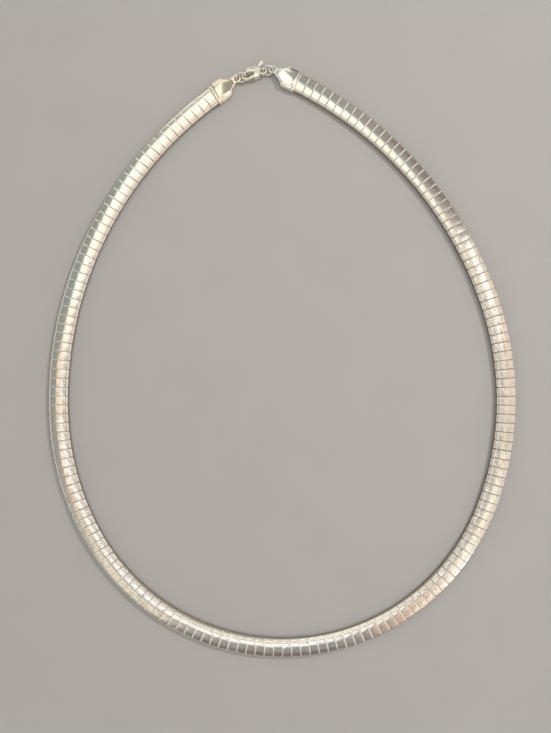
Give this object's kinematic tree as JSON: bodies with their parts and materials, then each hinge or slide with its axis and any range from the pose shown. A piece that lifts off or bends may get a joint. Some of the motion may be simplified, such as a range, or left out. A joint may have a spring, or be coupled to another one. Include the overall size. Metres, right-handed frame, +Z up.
{
  "type": "omega chain necklace",
  "caption": "Flat-lying omega chain necklace: domed plates folded over a mesh band, stamped end caps, jump rings and a lobster claw with a hinged lever.",
  "frame": {"origin": "centre of the bounding box in plan, on the surface the necklace lies on", "axes": "+Z up through the domed side, +Y towards the clasp, -Y towards the front of the loop, +X to the right"},
  "size_m": [0.1342, 0.1716, 0.0028],
  "materials": {
    "plate_silver": "polished silver with fine scratches",
    "mesh_silver": "woven silver wire, slightly tarnished",
    "cap_silver": "polished silver",
    "ring_silver": "polished silver wire",
    "clasp_silver": "polished cast silver"
  },
  "bodies": {
    "necklace": {"plates_right": "plate_silver", "plates_left": "plate_silver", "mesh_core": "mesh_silver", "cap_right": "cap_silver", "cap_left": "cap_silver", "jump_ring_right": "ring_silver", "jump_ring_left": "ring_silver", "clasp_body": "clasp_silver"},
    "clasp_lever": {"clasp_lever": "clasp_silver"}
  },
  "joints": [
    {"name": "lever_hinge", "type": "hinge", "parent": "necklace", "child": "clasp_lever", "pos_m": [-0.00718, 0.08145, 0.00148], "axis": [0.0619, -0.2339, -0.9703], "range_deg": [0, 16], "stiffness_Nm_per_rad": 0.002}
  ]
}
